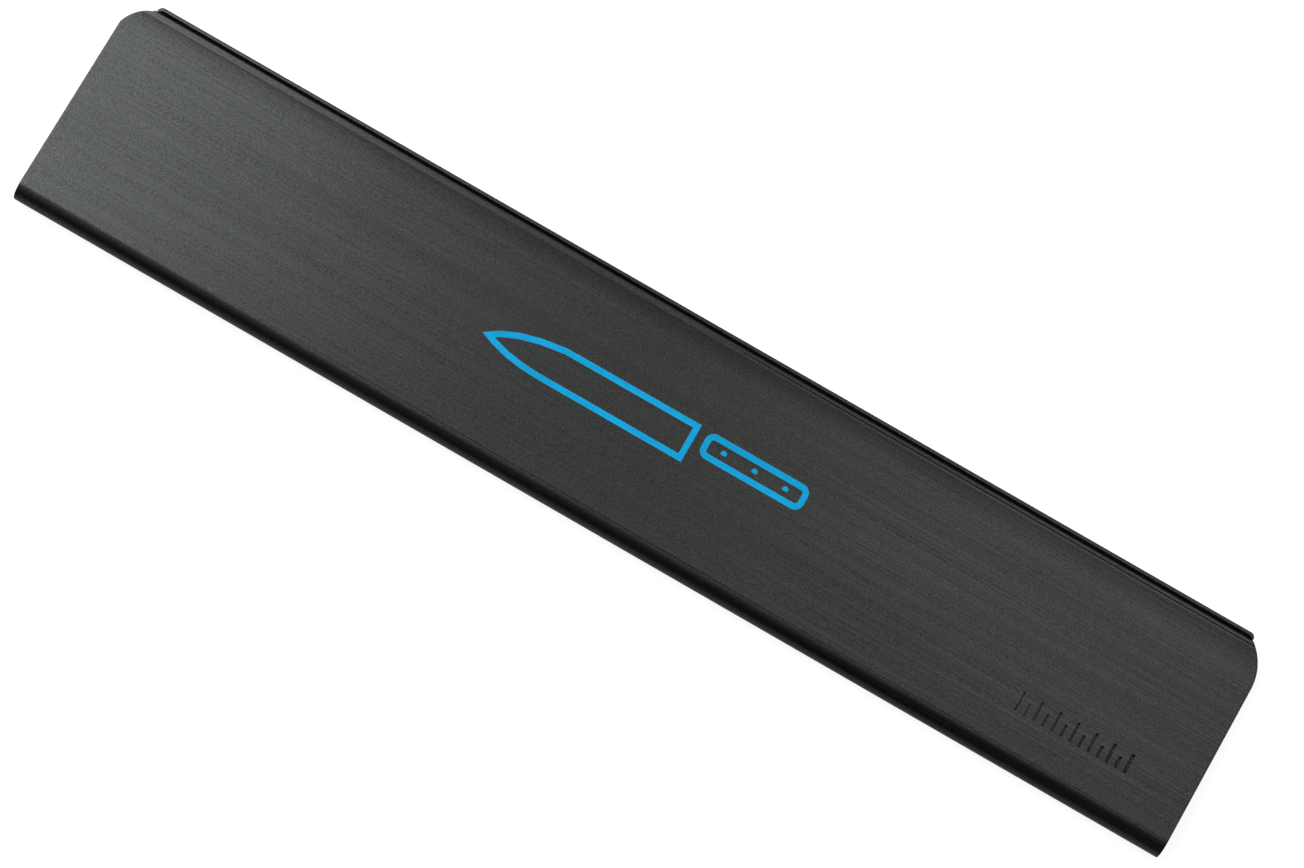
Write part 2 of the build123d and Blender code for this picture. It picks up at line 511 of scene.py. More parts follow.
class Corner:
    """One punched corner of a leaf: an arc from the end to a flat side, with a rounded tip."""

    def __init__(self, scene, section, hand, mouth_inset=0.0, end_inset=0.0):
        strip, cuts = scene.guard_strip, scene.guard_corners
        name = "right_" if hand == RIGHT else "left_"
        cut_length, cut_height, bulge, cut_side, tip_radius = [
            getattr(cuts, name + size)
            for size in ("cut_length", "cut_height", "cut_bulge", "cut_side", "tip_radius")]
        half_chord = hypot(cut_length, cut_height) / 2
        self.radius = (half_chord**2 + bulge**2) / (2 * bulge)
        reach = (self.radius - bulge) / (2 * half_chord)
        self.end = strip.guard_length / 2 - end_inset
        mouth = section.edge - mouth_inset
        punched = section.front_edge - end_inset
        self.foot = punched - cut_height
        self.centre = (self.end - cut_length / 2 - reach * cut_height,
                       punched - cut_height / 2 - reach * cut_length)
        self.flat = self.end - cut_side
        self.flat_start = self.centre[1] + sqrt(self.radius**2 - (self.flat - self.centre[0]) ** 2)
        self.tip = min(tip_radius, max(0.0, mouth - self.flat_start))
        self.tip_centre = (self.flat - self.tip, mouth - self.tip)

    def bound(self, along):
        """How far the leaf reaches from the guard's middle."""
        if along <= self.foot:
            return self.end
        if along > self.tip_centre[1] and self.tip > 0:
            rise = min(self.tip, along - self.tip_centre[1])
            return self.tip_centre[0] + sqrt(max(0.0, self.tip**2 - rise**2))
        if along >= self.flat_start:
            return self.flat
        return min(self.end, self.centre[0] + sqrt(self.radius**2 - (along - self.centre[1]) ** 2))

    def nearness(self, reach, along):
        """Distance from a point in the leaf to its end or to the punched outline."""
        near = self.end - reach
        if along > self.foot and reach > self.centre[0]:
            arc_near = self.radius - hypot(reach - self.centre[0], along - self.centre[1])
            near = min(near, max(arc_near, self.flat - reach))
        if along > self.tip_centre[1] and reach > self.tip_centre[0]:
            tip_near = self.tip - hypot(reach - self.tip_centre[0], along - self.tip_centre[1])
            near = min(near, tip_near)
        return max(0.0, near)


def arris_drop(near, radius):
    """How far a rounded arris lies under the skin, at a distance from the outline."""
    if near >= radius:
        return 0.0
    return radius - sqrt(radius**2 - (radius - near) ** 2)


def fade(x, low, high):
    """Grows smoothly from 0 at low to 1 at high."""
    way = min(1.0, max(0.0, (x - low) / (high - low)))
    return way * way * (3 - 2 * way)


def spread(start, end, gap):
    """Evenly spaced values from start to end, about a gap apart."""
    count = max(1, round((end - start) / gap))
    return [start + (end - start) * i / count for i in range(count + 1)]


def graded(gaps, *places):
    """Values from the first place to the last, with a gap of their own in each stretch."""
    values = []
    for start, end, gap in zip(places, places[1:], gaps):
        values += spread(start, end, gap)[:-1]
    return [*values, places[-1]]


def slab(name, rows, smooth_angle=LEAF_SMOOTH):
    """A closed slab from rows of (outer, inner) points. The outer skin's points are marked."""
    bm = bmesh.new()
    skin = bm.verts.layers.float.new("skin")
    outer, inner = [[[bm.verts.new(pair[face]) for pair in row] for row in rows] for face in (0, 1)]
    for row in outer:
        for vert in row:
            vert[skin] = 1.0
    last_row, last = len(rows) - 1, len(rows[0]) - 1
    for j in range(last_row):
        for i in range(last):
            bm.faces.new((outer[j][i], outer[j][i + 1], outer[j + 1][i + 1], outer[j + 1][i]))
            bm.faces.new((inner[j][i], inner[j + 1][i], inner[j + 1][i + 1], inner[j][i + 1]))
        for i in (0, last):
            bm.faces.new((outer[j][i], outer[j + 1][i], inner[j + 1][i], inner[j][i]))
    for i in range(last):
        for j in (0, last_row):
            bm.faces.new((outer[j][i], outer[j][i + 1], inner[j][i + 1], inner[j][i]))
    return bm_piece(name, bm, smooth_angle)


def finish_mesh(bm, mesh, smooth_angle):
    """Closes a bmesh, faces it outwards, smooths its shallow edges and puts it in a mesh."""
    bmesh.ops.remove_doubles(bm, verts=bm.verts, dist=DOUBLES)
    bmesh.ops.recalc_face_normals(bm, faces=bm.faces)
    limit = radians(smooth_angle)
    for face in bm.faces:
        face.smooth = True
    for edge in bm.edges:
        edge.smooth = edge.calc_face_angle(0.0) < limit
    bm.to_mesh(mesh)
    bm.free()


def new_piece(name):
    """An object with an empty mesh, in the scene."""
    piece = bpy.data.objects.new(name, bpy.data.meshes.new(name))
    bpy.context.scene.collection.objects.link(piece)
    return piece


def bm_piece(name, bm, smooth_angle=LEAF_SMOOTH):
    """Turns a bmesh into an object."""
    piece = new_piece(name)
    finish_mesh(bm, piece.data, smooth_angle)
    return piece


def place(piece, section, material=None):
    """Puts a piece that was made in the section into the frame."""
    piece.data.transform(section.matrix())
    if material:
        piece.data.materials.clear()
        piece.data.materials.append(material)


def row_points(columns, corners, along, outer_of, inner_of, arris, limit):
    """The points of one row of a slab, in which columns near an end follow the punched outline."""
    right, left = corners
    near_end = [arris * step for step in ARRIS_STEPS] + list(END_COLUMNS)
    xs = [-(left.bound(along) - step) for step in near_end]
    xs += columns
    xs += [right.bound(along) - step for step in reversed(near_end)]
    points = []
    for x in xs:
        near = min(right.nearness(x, along), left.nearness(-x, along))
        drop = min(limit, arris_drop(near, arris))
        points.append((outer_of(x, drop), inner_of(x, drop)))
    return points


def leaf_piece(scene, name, section, fine_columns=(), fine_rows=(), groove=False):
    """One leaf of the guard: flat from its root to the bend, then a ramp and a flat rim."""
    strip, side = section.strip, section.side
    corners = Corner(scene, section, RIGHT), Corner(scene, section, LEFT)
    root, _, (ramp_end, _) = section.corners(0, section.edge)
    root_in = section.corners(strip.wall, section.edge)[0]
    bend_start, bend_end = section.bend(0)
    arris, mouth = strip.edge_radius, section.edge
    groove_at = mouth - strip.rim_width * GROOVE_PLACE
    foot = min(corner.foot for corner in corners)
    alongs = [root[0] + strip.crease_width * step for step in CREASE_ROWS]
    alongs += graded(LEAF_ROWS, root[0] + LEAF_ROWS[0] / 2, foot, bend_start, bend_end)
    alongs += [ramp_end - KINK, ramp_end + KINK]
    alongs += [groove_at + strip.groove_width * step for step in GROOVE_ROWS]
    alongs += [mouth - arris * step for step in ARRIS_STEPS] + list(fine_rows)
    for corner in corners:
        alongs += [corner.flat_start - FLAT_KINK, corner.flat_start]
        if corner.tip > 0:
            alongs += spread(corner.tip_centre[1], mouth, corner.tip / LEAF_TIP_ROWS)
    alongs = sorted(alongs)
    kept = [alongs[0]]
    for along in alongs[1:]:
        if along - kept[-1] > LEAST_ROW and along <= mouth:
            kept.append(along)
    inside = strip.guard_length / 2 - LEAF_INSIDE
    columns = sorted(set(spread(-inside, inside, LEAF_COLUMN)) | set(fine_columns))
    limit = strip.wall * MOST_DROP

    def row(along, skin_at, inner_at, edge_drop=0.0, dip=0.0, crease=0.0):
        lift = skin_at[1] - (root[1] - (skin_at[0] - root[0]) * tan(section.leaf_angle))

        def outer_of(x, drop):
            line = dip * fade(x, *DIE_LINE_FADE) + crease * fade(x, *CREASE_FADE)
            if side == FRONT and lift > 0:
                line += strip.rim_ease * lift * fade(x, *RIM_EASE_FADE)
            return (x, skin_at[0], side * (skin_at[1] - max(drop, edge_drop) - line))

        def inner_of(x, drop):
            return (x, inner_at[0], side * (inner_at[1] + max(drop, edge_drop)))

        return row_points(columns, corners, along, outer_of, inner_of, strip.end_radius, limit)

    rows = [row(root[0], root, root_in, crease=strip.crease_depth)]
    for along in kept:
        dip = 0.0
        if groove and abs(along - groove_at) < strip.groove_width * GROOVE_REACH:
            turn = 2 * pi * (along - groove_at) / strip.groove_width
            dip = strip.groove_depth * (0.5 + 0.5 * cos(turn))
        inner_at = (max(along, root_in[0] + (along - root[0])), section.out(along, strip.wall))
        fall = strip.rim_fall * max(0.0, along - ramp_end) / strip.rim_width
        rows.append(row(along, (along, section.out(along, 0) - fall), inner_at,
                        arris_drop(mouth - along, arris), dip))
    return slab(name, rows)


def felt_piece(scene, name, section):
    """The felt inside one leaf, with an uneven cut edge and a slightly lumpy face."""
    strip, lining = section.strip, scene.guard_lining
    insets = lining.felt_mouth_inset, lining.felt_end_inset
    corners = [Corner(scene, section, hand, *insets) for hand in (RIGHT, LEFT)]
    glue, face = strip.wall, strip.wall + lining.felt_thickness
    root_along = section.corners(glue, section.edge)[0][0]
    start = root_along + lining.felt_root_gap
    mouth = section.edge - lining.felt_mouth_inset
    foot = min(corner.foot for corner in corners)
    bend_start, bend_end = section.bend(glue)
    before_cut, at_cut = [mouth - row for row in FELT_LAST_ROWS]
    alongs = graded(FELT_ROWS, start, foot, bend_start, bend_end, before_cut) + [at_cut, mouth]
    for corner in corners:
        if corner.tip > 0:
            alongs += [corner.flat_start - FLAT_KINK, corner.flat_start]
            alongs += spread(corner.tip_centre[1], before_cut, corner.tip / FELT_TIP_ROWS)
    inside = strip.guard_length / 2 - FELT_INSIDE
    columns = spread(-inside, inside, FELT_COLUMN)
    rows = []
    for along in sorted(set(alongs)):
        edge_near = min(mouth - along, along - start)
        drop_here = arris_drop(edge_near, FELT_ARRIS)
        frayed = 1.0 - min(1.0, max(0.0, edge_near) / FRAYED_BAND)

        def at(x, depth, drop):
            waver = noise.noise(Vector((x / FRAY_GRAIN, section.side * SIDE_SHIFT, 0.0)))
            ragged = lining.fray * frayed * (waver - FRAY_LEVEL)
            lump = noise.noise(Vector((x, along, depth)) / LUMP_GRAIN) - LUMP_LEVEL
            sign = 1.0 if along > foot else -1.0
            rise = drop if depth == glue else drop + lining.lumps * max(0.0, -lump)
            inward = -rise if depth == glue else rise
            return (x, along + sign * ragged, section.side * (section.out(along, depth) + inward))

        rows.append(row_points(
            columns, corners, along,
            lambda x, drop: at(x, glue, 0.0),
            lambda x, drop: at(x, face, max(drop, drop_here)),
            FELT_ARRIS, lining.felt_thickness * MOST_DROP))
    return slab(name, rows, FELT_SMOOTH)


def curve(start, middle, end):
    """Points after the start of a plain curve that leans towards its middle point."""
    start, middle, end = Vector(start), Vector(middle), Vector(end)
    return [tuple(start.lerp(middle, step).lerp(middle.lerp(end, step), step))
            for step in CURVE_STEPS]


def knife_outline(marks):
    """Closed outlines of a plain kitchen knife's blade and handle, and the places of its rivets."""
    half, top = marks.print_length / 2, marks.print_height / 2
    blade = [(BOLSTER, 1.0), SPINE_END, *curve(SPINE_END, SPINE_CURVE, TIP),
             *curve(TIP, BELLY_CURVE, BELLY_END), (BOLSTER, -1.0)]
    blade = [(x * half, y * top) for x, y in blade]
    grip_top, grip_low = top * HANDLE_TOP, top * HANDLE_LOW
    radius = marks.print_stroke * HANDLE_CORNER
    nose, tail = half * BOLSTER + radius, half
    handle = []
    for quarter, (centre_x, centre_y) in enumerate((
            (tail - radius, grip_top - radius), (nose + radius, grip_top - radius),
            (nose + radius, grip_low + radius), (tail - radius, grip_low + radius))):
        for step in range(CORNER_PARTS + 1):
            turn = pi / 2 * (quarter + step / CORNER_PARTS)
            handle.append((centre_x + radius * cos(turn), centre_y + radius * sin(turn)))
    rivets = [(nose + (tail - nose) * place, (grip_top + grip_low) / 2) for place in RIVET_PLACES]
    return (blade, handle), rivets


def inset_outline(points, distance):
    """The outline at a distance inside a closed one, both with the same points."""
    area = sum(a[0] * b[1] - b[0] * a[1] for a, b in zip(points, points[1:] + points[:1]))
    turn = 1.0 if area > 0 else -1.0
    inner = []
    for before, here, after in zip(points[-1:] + points[:-1], points, points[1:] + points[:1]):
        first = (Vector(here) - Vector(before)).normalized()
        second = (Vector(after) - Vector(here)).normalized()
        normal = Vector((-first.y - second.y, first.x + second.x)) * turn
        normal.normalize()
        spreading = max(SHARPEST_CORNER, normal.dot(Vector((-first.y, first.x)) * turn))
        inner.append(tuple(Vector(here) + normal * (distance / spreading)))
    return inner


def stroke_piece(name, outlines, dots, stroke, lift_of, thickness):
    """Flat closed lines of ink along closed outlines, and round dots of the line's width."""
    bm = bmesh.new()
    for x, y in dots:
        middle = Matrix.Translation((x, y, lift_of(y) + thickness / 2))
        bmesh.ops.create_cone(bm, cap_ends=True, segments=RIVET_SIDES, radius1=stroke / 2,
                              radius2=stroke / 2, depth=thickness, matrix=middle)
    for points in outlines:
        loops = []
        for line in (points, inset_outline(points, stroke)):
            for height in (0.0, thickness):
                loops.append([bm.verts.new((x, y, lift_of(y) + height)) for x, y in line])
        low_out, high_out, low_in, high_in = loops
        count = len(points)
        for i in range(count):
            j = (i + 1) % count
            for a, b in ((high_out, high_in), (high_in, low_in), (low_in, low_out),
                         (low_out, high_out)):
                bm.faces.new((a[i], a[j], b[j], b[i]))
    return bm_piece(name, bm)


def fold_rule():
    """The rolled fold: a straight tube of one wall, open towards the leaves, with rounded ends."""
    rule = Rule("Rolled fold", ("Length", "Outer radius", "Bore radius", "Leaf angle", "Arris"))
    tree = rule.tree
    tube_length, outer_radius, bore_radius, leaf_angle, arris = rule.values()
    grid = rule.node("GeometryNodeMeshGrid", Size_X=1.0, Size_Y=1.0,
                     Vertices_X=FOLD_COLUMNS, Vertices_Y=FOLD_ROWS)
    across, round_, _ = rule.position()
    reach = (across * 2.0).math("ABSOLUTE").rest()
    near = reach.math("POWER", FOLD_CROWDING) * tube_length * 0.5
    x = across.math("SIGN") * (tube_length * 0.5 - near)
    short = (near / arris).rest(clamp=True)
    drop = (short * short).rest().math("SQRT").rest() * arris
    turn = round_ * leaf_angle.math("MULTIPLY_ADD", 2.0, pi) + pi
    along, out = turn.math("COSINE"), turn.math("SINE")
    outer_place, bore_place = [combine(tree, x, along * radius, out * radius)
                               for radius in (outer_radius - drop, bore_radius + drop)]
    stored = rule.node("GeometryNodeStoreNamedAttribute",
                       {"data_type": "FLOAT_VECTOR", "domain": "POINT"},
                       Geometry=grid, Name="bore", Value=bore_place)
    bore = rule.node("GeometryNodeSetPosition", Geometry=stored, Position=bore_place)
    skin = rule.node("GeometryNodeSetPosition", Geometry=stored, Position=outer_place)
    goal = rule.node("GeometryNodeInputNamedAttribute", {"data_type": "FLOAT_VECTOR"}, Name="bore")
    rim = rule.node("FunctionNodeCompare", {"data_type": "INT", "operation": "EQUAL"},
                    A=tree.nodes.new("GeometryNodeInputMeshEdgeNeighbors"), B=1)
    walls = rule.node("GeometryNodeExtrudeMesh", {"mode": "EDGES"}, Mesh=skin, Selection=rim,
                      Offset_Scale=0.0)
    seated = rule.node("GeometryNodeSetPosition", Geometry=walls, Selection=walls.outputs["Top"],
                       Position=goal)
    return rule.finish(rule.node("GeometryNodeMergeByDistance", Geometry=rule.join(seated, bore),
                                 Distance=FOLD_DOUBLES))


def tick_grid(marks):
    """Columns and rows that a leaf's mesh needs where the ticks are pressed in."""
    columns, rows = [], []
    for tick in range(marks.tick_count):
        middle = marks.scale_x + tick * marks.tick_pitch
        fullness = marks.faint_tick + (1 - marks.faint_tick) * tick / (marks.tick_count - 1)
        half = marks.tick_width / 2 * fullness
        columns += [middle + half * step for step in TICK_COLUMN_STEPS]
    foot, half = marks.scale_along, marks.tick_width / 2
    short_top, long_top = foot + marks.tick_height * marks.short_tick, foot + marks.tick_height
    for end in (foot + half, short_top - half, long_top - half):
        rows += [end + half * step for step in TICK_ROW_STEPS]
    rows += spread(foot + half * TICK_CLEAR, short_top - half * TICK_CLEAR, TICK_ROW)
    return columns, rows


def tick_rule():
    """A row of pressed ticks: the marked skin goes down along short strokes at an even pitch."""
    rule = Rule("Pressed scale", (
        "Start", "Pitch", "Width", "Foot", "Height", "Short", "Depth", "Faint"), ("Count", "Step"))
    tree = rule.tree
    start, pitch, width, foot, height, short, depth, faint, count, step = rule.values()
    x, along, _ = rule.position()
    last = count - 1.0
    number = ((x - start) / pitch).math("ROUND").math("MAXIMUM", 0.0).math("MINIMUM", last)
    sideways = x - (start + number * pitch)
    is_long = number.math("MODULO", step).math("LESS_THAN", 0.5)
    fullness = faint + number / last * faint.rest()
    half_width = width * 0.5 * fullness
    low = foot + half_width
    high = foot + height * (short + is_long * short.rest()) - half_width
    beyond = (along - high).math("MAXIMUM", low - along).math("MAXIMUM", 0.0)
    distance = (sideways * sideways + beyond * beyond).math("SQRT")
    down = (distance / half_width).rest(clamp=True) * fullness * depth * -1.0
    skin = rule.node("GeometryNodeInputNamedAttribute", {"data_type": "FLOAT"}, Name="skin")
    return rule.finish(rule.node(
        "GeometryNodeSetPosition", Geometry=rule.value("Geometry"),
        Offset=combine(tree, 0.0, 0.0, down * Field(tree, socket_of(skin)))))


def fibre_rule():
    """Loose fibres that stand on the felt, thick near its cut edge at the mouth."""
    rule = Rule("Felt fibres", (
        "Length", "Thickness", "Density", "Band start", "Band width", "Thin share"), ("Seed",))
    fibre_length, thickness, density, band_start, band_width, thin_share, seed = rule.values()
    _, along, _ = rule.position()
    near = ((along - band_start) / band_width).math("ADD", 0.0, clamp=True)
    crowd = thin_share + near * thin_share.rest()
    spots = rule.node("GeometryNodeDistributePointsOnFaces", {"distribute_method": "RANDOM"},
                      Mesh=rule.value("Geometry"), Density=density * crowd, Seed=seed)
    fibre = rule.node("GeometryNodeMeshCone", {"fill_type": "TRIANGLE_FAN"}, Vertices=3,
                      Radius_Top=0.0, Radius_Bottom=thickness * 0.5, Depth=fibre_length)
    lean = rule.node("FunctionNodeRandomValue", {"data_type": "FLOAT_VECTOR"}, Seed=seed,
                     Min=(-FIBRE_LEAN, -FIBRE_LEAN, 0.0), Max=(FIBRE_LEAN, FIBRE_LEAN, FIBRE_TURN))
    turned = rule.node("FunctionNodeRotateEuler", {"rotation_type": "EULER", "space": "LOCAL"},
                       Rotation=spots.outputs["Rotation"], Rotate_By=lean)
    grown = rule.node("FunctionNodeRandomValue", {"data_type": "FLOAT"},
                      Min=FIBRE_SIZES[0], Max=FIBRE_SIZES[1], Seed=seed)
    placed = rule.node("GeometryNodeInstanceOnPoints", Points=spots, Instance=fibre,
                       Rotation=turned, Scale=grown)
    return rule.finish(rule.join(placed, rule.value("Geometry")))


def new_material(name):
    """A node material, its tree and its Principled shader."""
    material = bpy.data.materials.new(name)
    material.use_nodes = True
    tree = material.node_tree
    return material, tree, tree.nodes["Principled BSDF"]


def pattern(tree, scale, stretch=(1.0, 1.0, 1.0), detail=2.0, roughness=0.5, shift=0.0):
    """A noise pattern in the piece's own metres, stretched along its axes."""
    here = tree.nodes.new("ShaderNodeTexCoord").outputs["Object"]
    mapped = add_node(tree, "ShaderNodeMapping", Vector=here, Scale=stretch,
                      Location=(shift, shift, 0.0))
    cloud = add_node(tree, "ShaderNodeTexNoise", Vector=mapped, Scale=scale,
                     Detail=detail, Roughness=roughness)
    return Field(tree, cloud.outputs[0])


def toned(tree, tone, dark, light):
    """A colour that runs from dark to light with its tone."""
    return add_node(tree, "ShaderNodeMix", {"data_type": "RGBA"}, Factor=tone,
                    A=(*dark, 1.0), B=(*light, 1.0))


def relief(tree, height, depth):
    """The normal of a surface with a fine relief of some depth."""
    return add_node(tree, "ShaderNodeBump", Height=height, Distance=depth)


def drawn_plastic(tree, shader, finish):
    """Dark satin plastic with fine streaks along the strip and a fine speckle."""
    fine = pattern(tree, 2600.0, (0.005, 1.0, 1.0), detail=3.0, roughness=0.65)
    broad = pattern(tree, 330.0, (0.010, 1.0, 1.0), detail=3.0, roughness=0.6, shift=0.37)
    speckle = pattern(tree, 3600.0, (0.9, 1.0, 1.0), detail=1.0, roughness=0.6, shift=0.11)
    patches = pattern(tree, 45.0, (0.4, 1.0, 1.0), shift=0.71)
    # Each noise is spread over the range that holds most of its values
    streaks = (fine * 0.60 + broad * 0.25 + patches * 0.15).eased(0.42, 0.60)
    speckles = speckle.eased(0.30, 0.70)
    tone = streaks * 0.5 + speckles * 0.5
    # What the speckle adds to the gloss, and the streaks, which add more away from the middle
    speckle_sheen, streak_sheen, left_sheen, right_sheen = 0.24, 0.03, 0.06, 0.14
    away = 20 * MM, 60 * MM
    roughness_spread = 0.03
    x, _, _ = separate(tree, tree.nodes.new("ShaderNodeTexCoord").outputs["Object"])
    worn = (x * -1.0).eased(*away) * left_sheen + x.eased(*away) * right_sheen + streak_sheen
    sheen = speckles * speckle_sheen + (streaks - 0.5) * worn + finish.plastic_sheen
    fill(shader, Base_Color=toned(tree, tone, finish.plastic_dark, finish.plastic_light),
         Specular_IOR_Level=sheen, IOR=1.5, Specular_Tint=(0.95, 1.0, 0.92, 1.0),
         Roughness=(streaks - 0.5) * roughness_spread + finish.plastic_roughness,
         Normal=relief(tree, fine * 0.35 + broad * 0.25 + speckle * 0.4, finish.grain_depth))


def black_felt(tree, shader, finish):
    """Black matt felt with a clumpy nap."""
    nap = pattern(tree, 4200.0, detail=4.0, roughness=0.7)
    clumps = pattern(tree, 900.0, shift=0.5)
    tone = (nap * 0.6 + clumps * 0.4).eased(0.38, 0.64)
    fill(shader, Base_Color=toned(tree, tone, finish.felt_dark, finish.felt_light), Roughness=0.95,
         Specular_IOR_Level=0.05, Normal=relief(tree, nap, finish.nap_depth))


def blue_ink(tree, shader, finish):
    """Blue printing ink, a little uneven where it lies over the plastic's grain."""
    grain = pattern(tree, 3000.0, (0.5, 1.0, 1.0), detail=3.0, roughness=0.7, shift=0.11)
    cloud = pattern(tree, 350.0, (0.3, 1.0, 1.0))
    tone = (grain * 0.5 + cloud * 0.5).eased(0.38, 0.62)
    fill(shader, Base_Color=toned(tree, tone, finish.ink_deep, finish.ink_light),
         Roughness=grain.eased(0.35, 0.65, 0.50, 0.62), Specular_IOR_Level=0.12,
         Normal=relief(tree, grain, finish.ink_grain_depth))


def material_of(make):
    """The material that a function describes, made the first time that it is asked for."""
    found = bpy.data.materials.get(make.__name__)
    if found:
        return found
    material, tree, shader = new_material(make.__name__)
    make(tree, shader, bpy.context.scene.guard_finish)
    return material


class BuildFold(bpy.types.Operator):
    """Rolls the springy fold that joins the two leaves"""
    bl_idname = "guard.build_fold"
    bl_label = "Rolled fold"

    def execute(self, context):
        section = Section(context.scene, FRONT)
        piece = new_piece("fold_skin")
        fold_rule().apply(piece, material_of(drawn_plastic), {
            "Length": section.strip.guard_length,
            "Outer radius": section.fold_radius,
            "Bore radius": section.bore_radius,
            "Leaf angle": section.leaf_angle,
            "Arris": section.strip.end_radius,
        })
        bm = bmesh.new()
        bm.from_mesh(piece.data)
        finish_mesh(bm, piece.data, FOLD_SMOOTH)
        place(piece, section)
        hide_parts("back_fold", "front_fold")
        reach = section.fold_radius * FOLD_BLEND
        start, end = [tuple(section.matrix() @ Vector((0, 0, out))) for out in (-reach, reach)]
        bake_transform(piece)
        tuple(start)
        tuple(end)
        return {"FINISHED"}


class BuildFrontLeaf(bpy.types.Operator):
    """Builds the front leaf with its rim and the pressed scale"""
    bl_idname = "guard.build_front_leaf"
    bl_label = "Front leaf"

    def execute(self, context):
        scene, marks = context.scene, context.scene.guard_marks
        section = Section(scene, FRONT)
        piece = leaf_piece(scene, "front_leaf_skin", section, *tick_grid(marks), groove=True)
        tick_rule().apply(piece, material_of(drawn_plastic), {
            "Start": marks.scale_x, "Pitch": marks.tick_pitch, "Width": marks.tick_width,
            "Foot": marks.scale_along, "Height": marks.tick_height, "Short": marks.short_tick,
            "Depth": marks.tick_depth, "Faint": marks.faint_tick,
            "Count": marks.tick_count, "Step": marks.tick_step,
        })
        place(piece, section)
        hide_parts("front_leaf")
        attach(piece, "front_half")
        return {"FINISHED"}


class BuildBackLeaf(bpy.types.Operator):
    """Builds the taller back leaf"""
    bl_idname = "guard.build_back_leaf"
    bl_label = "Back leaf"

    def execute(self, context):
        section = Section(context.scene, BACK)
        piece = leaf_piece(context.scene, "back_leaf_skin", section)
        place(piece, section, material_of(drawn_plastic))
        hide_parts("back_leaf")
        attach(piece, "back_half")
        return {"FINISHED"}


class BuildLining(bpy.types.Operator):
    """Lines both leaves with felt"""
    bl_idname = "guard.build_lining"
    bl_label = "Felt lining"

    def execute(self, context):
        scene, lining = context.scene, context.scene.guard_lining
        rule = fibre_rule()
        for name, node, body, side in (("back_felt_sheet", "back_felt", "back_half", BACK),
                                       ("front_felt_sheet", "front_felt", "front_half", FRONT)):
            section = Section(scene, side)
            piece = felt_piece(scene, name, section)
            rule.apply(piece, material_of(black_felt), {
                "Length": lining.fibre_length, "Thickness": lining.fibre_thickness,
                "Density": lining.fibre_density / MM**2, "Seed": lining.seed,
                "Band start": section.edge - lining.felt_mouth_inset - lining.fibre_band,
                "Band width": lining.fibre_band / 2, "Thin share": lining.fibre_thin_share,
            })
            place(piece, section)
            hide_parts(node)
            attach(piece, body)
        return {"FINISHED"}


class BuildPrint(bpy.types.Operator):
    """Prints the outline of a knife on the front leaf"""
    bl_idname = "guard.build_print"
    bl_label = "Printed knife"

    def execute(self, context):
        scene, marks = context.scene, context.scene.guard_marks
        section = Section(scene, FRONT)
        lines, rivets = knife_outline(marks)
        blade, handle, dots = [[(x + marks.print_x, y + marks.print_along) for x, y in line]
                               for line in (*lines, rivets)]
        thickness = marks.print_thickness
        piece = stroke_piece("printed_knife", (blade, handle), dots, marks.print_stroke,
                             lambda along: section.out(along, thickness / 2), thickness)
        place(piece, section, material_of(blue_ink))
        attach(piece, "front_half")
        return {"FINISHED"}


def ray_kinds(tree):
    """Whether a ray comes from the camera, off a glossy surface or through a clear one."""
    path = tree.nodes.new("ShaderNodeLightPath")
    kinds = "Is Camera Ray", "Is Glossy Ray", "Is Transmission Ray"
    return [Field(tree, path.outputs[kind]) for kind in kinds]


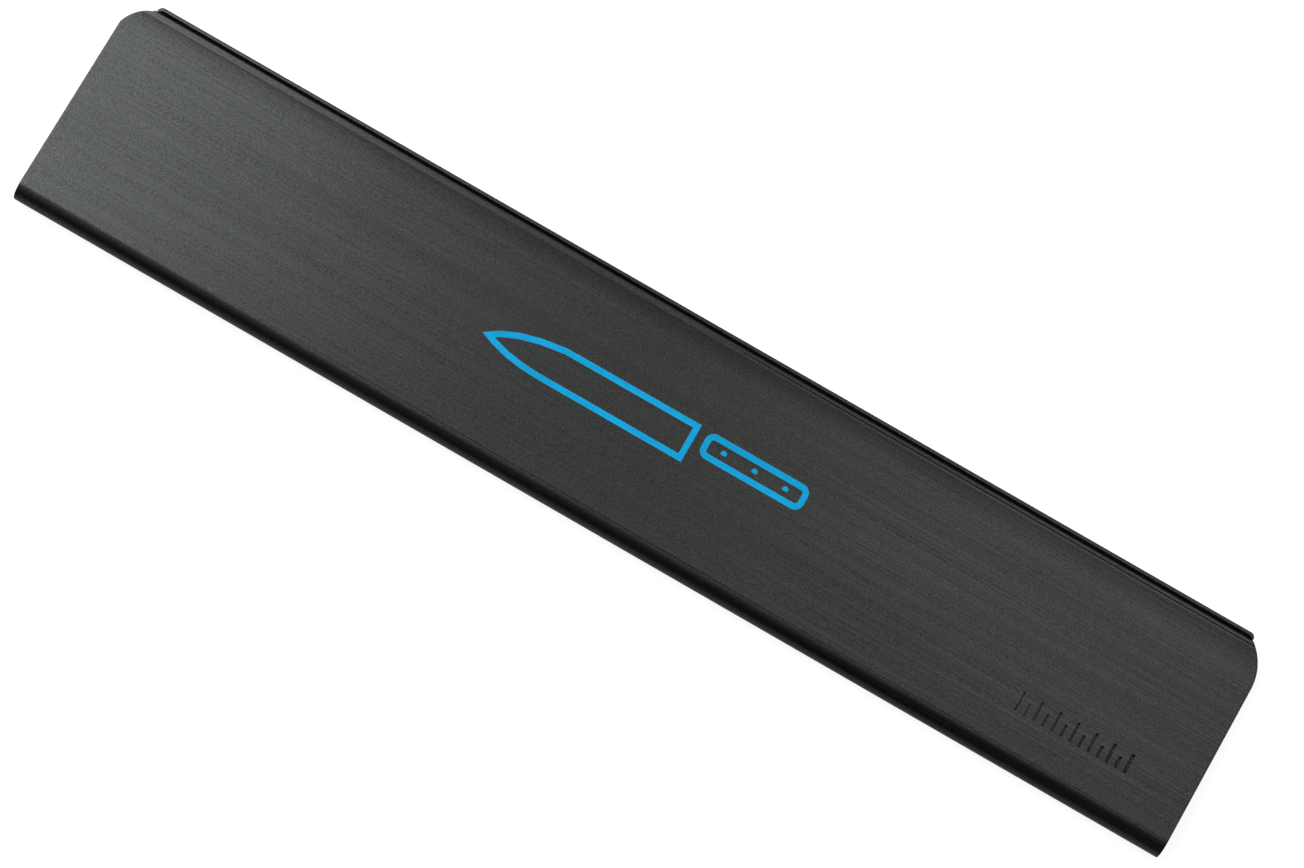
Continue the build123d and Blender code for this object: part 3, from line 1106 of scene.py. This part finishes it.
class BuildStage(bpy.types.Operator):
    """Sets the white ground, the soft lamps and the camera"""
    bl_idname = "guard.build_stage"
    bl_label = "Stage"

    def execute(self, context):
        scene, stage = context.scene, context.scene.guard_stage
        scene.view_settings.view_transform = "Standard"
        self.make_floor(stage)
        self.make_sky(scene, stage)
        self.make_lamp(scene, "left_softbox", stage.left_lamp, *LEFT_SOFTBOX)
        self.make_lamp(scene, "top_softbox", stage.top_lamp, *TOP_SOFTBOX)
        self.make_camera(scene, stage)
        return {"FINISHED"}

    def make_floor(self, stage):
        bm = bmesh.new()
        bmesh.ops.create_grid(bm, x_segments=1, y_segments=1, size=stage.floor_size / 2)
        floor = bm_piece("ground", bm)
        material, tree, shader = new_material("white_ground")
        seen, glossy, passed = ray_kinds(tree)
        mirrored = glossy.math("MAXIMUM", passed) * stage.mirror_share
        glow = seen.math("MAXIMUM", mirrored) * stage.floor_glow
        fill(shader, Base_Color=(*[stage.floor_grey] * 3, 1.0), Roughness=0.9,
             Specular_IOR_Level=0.0, Emission_Color=WHITE, Emission_Strength=glow)
        floor.data.materials.append(material)

    def make_sky(self, scene, stage):
        """Light from above that fades to the horizon, with a dark part low on the fold's side."""
        world = bpy.data.worlds.new("studio")
        scene.world = world
        world.use_nodes = True
        tree = world.node_tree
        direction = tree.nodes.new("ShaderNodeTexCoord").outputs["Generated"]
        across, along, up = separate(tree, direction)
        level = up.eased(0.0, SKY_TOP, stage.sky_low, stage.sky_high)
        ahead = across.math("ABSOLUTE").eased(*DARK_SIDEWAYS, 1.0, 0.0)
        dark = (along * -1.0 + across * ahead * DARK_TILT).eased(*DARK_RANGE) * ahead
        bright = level + (level * -1.0 + stage.sky_dark) * dark
        seen, _, passed = ray_kinds(tree)
        shown = bright + bright.rest() * seen.math("MAXIMUM", passed)
        fill(tree.nodes["Background"], Color=WHITE, Strength=shown)

    def make_lamp(self, scene, name, radiance, where, size, tint):
        lamp = bpy.data.lights.new(name, "AREA")
        lamp.shape, lamp.size, lamp.size_y = "RECTANGLE", size[0], size[1]
        lamp.energy = radiance * pi * size[0] * size[1]
        lamp.color = tint
        holder = bpy.data.objects.new(name, lamp)
        holder.location = where
        scene.collection.objects.link(holder)

    def make_camera(self, scene, stage):
        sideways, down = sin(stage.camera_lean_x), -sin(stage.camera_lean_y)
        sight = Vector((sideways, down, sqrt(1 - sideways**2 - down**2)))
        right = Vector((0, 1, 0)).cross(sight).normalized()
        level = Matrix((right, sight.cross(right), sight)).transposed().to_4x4()
        lens = bpy.data.cameras.new("view")
        lens.sensor_width = SENSOR_WIDTH
        lens.lens = stage.focal_pixels / PHOTO_WIDTH * SENSOR_WIDTH
        camera = bpy.data.objects.new("view", lens)
        eye = Vector((stage.aim_x, stage.aim_y, 0)) + sight * stage.camera_distance
        roll = Matrix.Rotation(-stage.camera_roll, 4, "Z")
        camera.matrix_world = Matrix.Translation(eye) @ level @ roll
        scene.collection.objects.link(camera)
        scene.camera = camera


class GuardPanel(bpy.types.Panel):
    """Lists the pieces of the guard and their sizes"""
    bl_idname = "VIEW3D_PT_blade_guard"
    bl_label = "Blade guard"
    bl_space_type = "VIEW_3D"
    bl_region_type = "UI"
    bl_category = "Blade guard"

    def draw(self, context):
        for name, group in GROUPS.items():
            box = self.layout.box()
            box.label(text=name.split("_")[1].capitalize())
            for prop in group.__annotations__:
                box.prop(getattr(context.scene, name), prop)
        for operator in OPERATORS:
            self.layout.operator(operator.bl_idname)


OPERATORS = (BuildStage, BuildFold, BuildFrontLeaf, BuildBackLeaf, BuildLining, BuildPrint)


def register():
    for group in (*GROUPS.values(), *OPERATORS, GuardPanel):
        bpy.utils.register_class(group)
    for name, group in GROUPS.items():
        setattr(bpy.types.Scene, name, PointerProperty(type=group))


def unregister():
    for name in GROUPS:
        delattr(bpy.types.Scene, name)
    for group in reversed((*GROUPS.values(), *OPERATORS, GuardPanel)):
        bpy.utils.unregister_class(group)


def main():
    register()
    bpy.ops.guard.build_stage()
    bpy.ops.guard.build_fold()
    bpy.ops.guard.build_front_leaf()
    bpy.ops.guard.build_back_leaf()
    bpy.ops.guard.build_lining()
    bpy.ops.guard.build_print()


if __name__ == "__main__":
    main()
